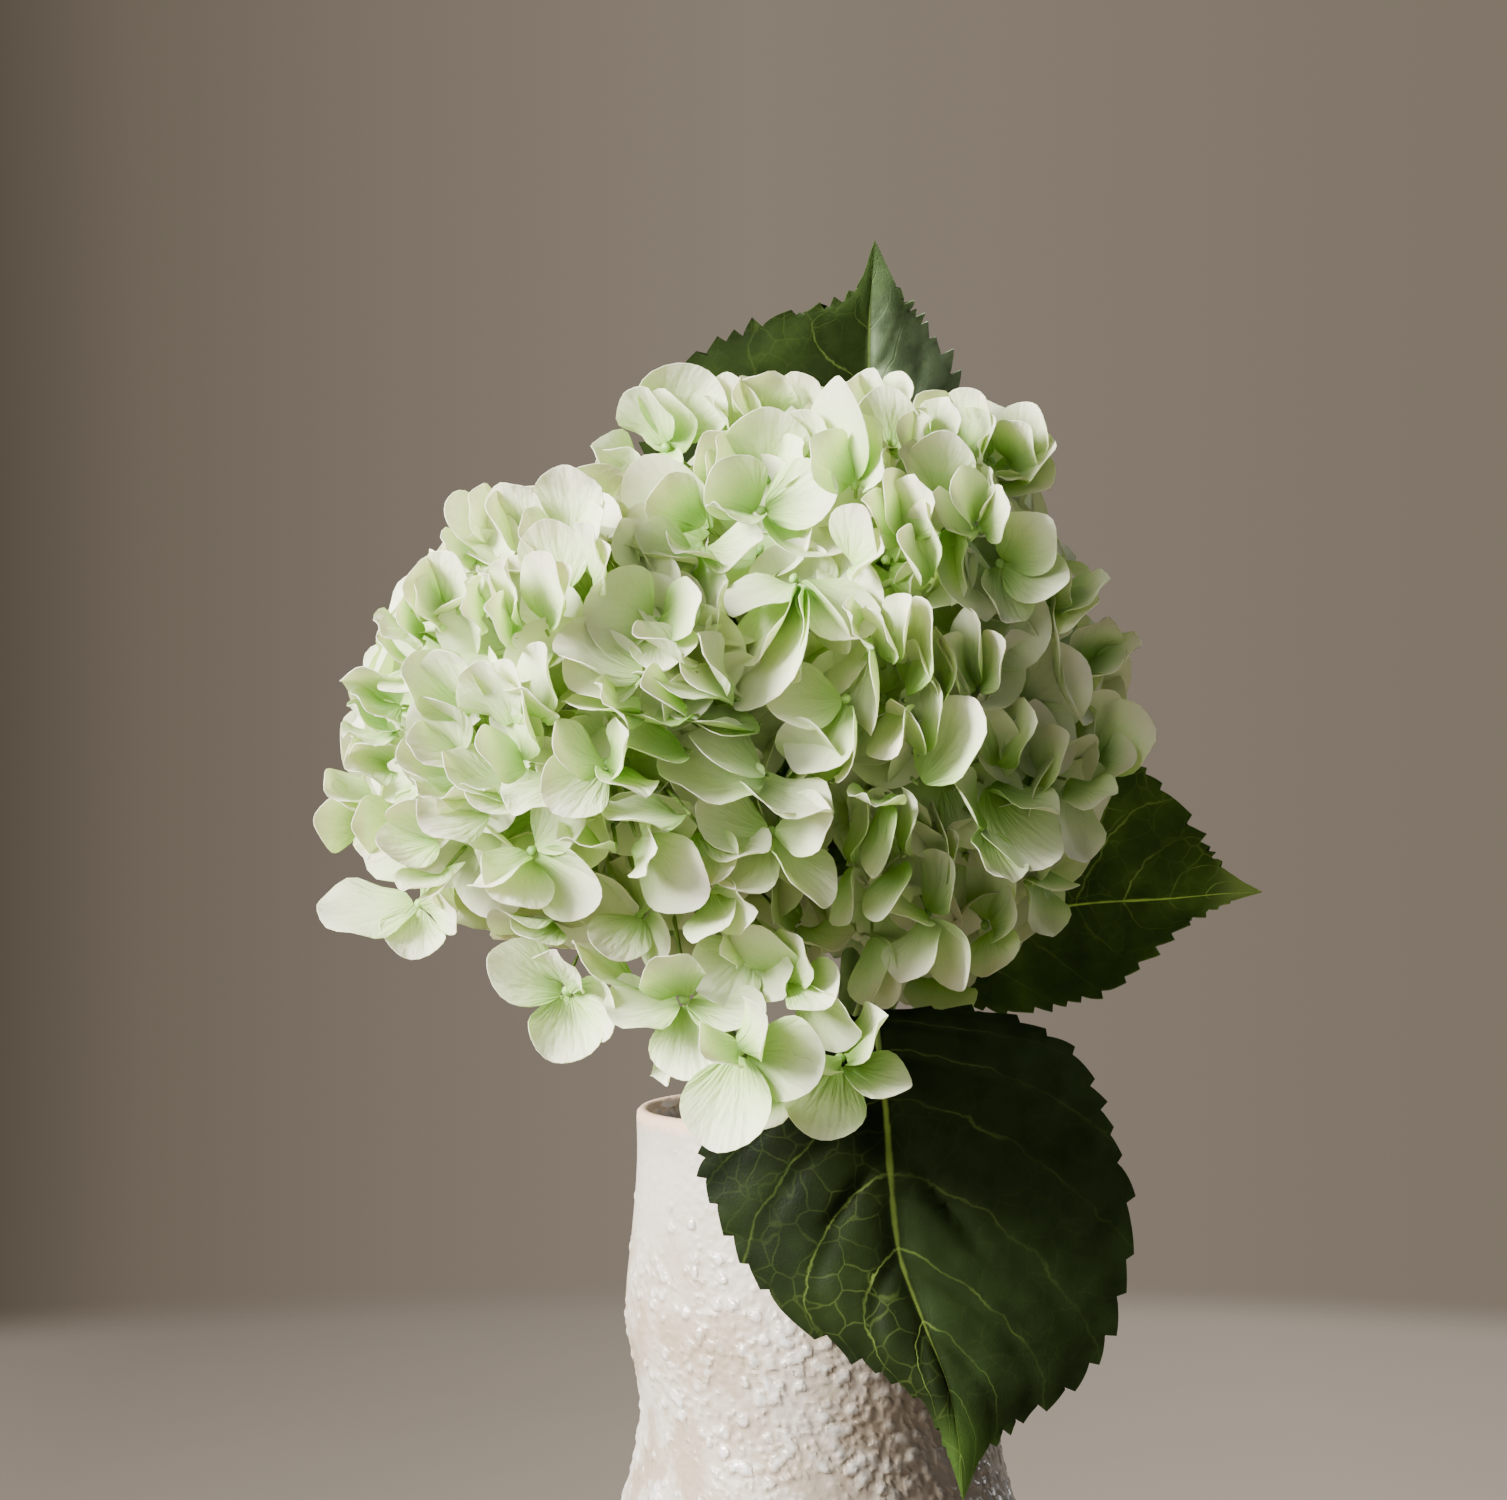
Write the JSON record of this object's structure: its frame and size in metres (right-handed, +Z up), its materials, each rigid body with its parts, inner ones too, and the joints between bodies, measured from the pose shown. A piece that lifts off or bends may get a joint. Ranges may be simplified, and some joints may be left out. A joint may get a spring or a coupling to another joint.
{
  "type": "hydrangeas in a vase",
  "caption": "Mop-head hydrangea flower heads with serrated leaves standing in a rough-glazed bottle vase.",
  "frame": {"origin": "centre of the vase's flat foot, on the surface that it stands on", "axes": "+Z up along the vase's axis; -Y is the front, as in the picture; +X to the right"},
  "size_m": [0.2868, 0.2225, 0.5012],
  "materials": {
    "vase_glaze": "thick off-white glaze with raised beads over tan stoneware",
    "stem_green": "moulded green stem",
    "leaf_green": "dark green printed fabric with yellow-green veins",
    "petal_cream_green": "soft matt petals, cream edges fading to lime green at the eye"
  },
  "bodies": {
    "root": {"vase": "vase_glaze", "stem_tall": "stem_green", "stem_low": "stem_green", "leaf_low": "leaf_green", "leaf_right": "leaf_green", "leaf_top": "leaf_green", "bloom_tall": "petal_cream_green", "bloom_low": "petal_cream_green"}
  },
  "joints": []
}
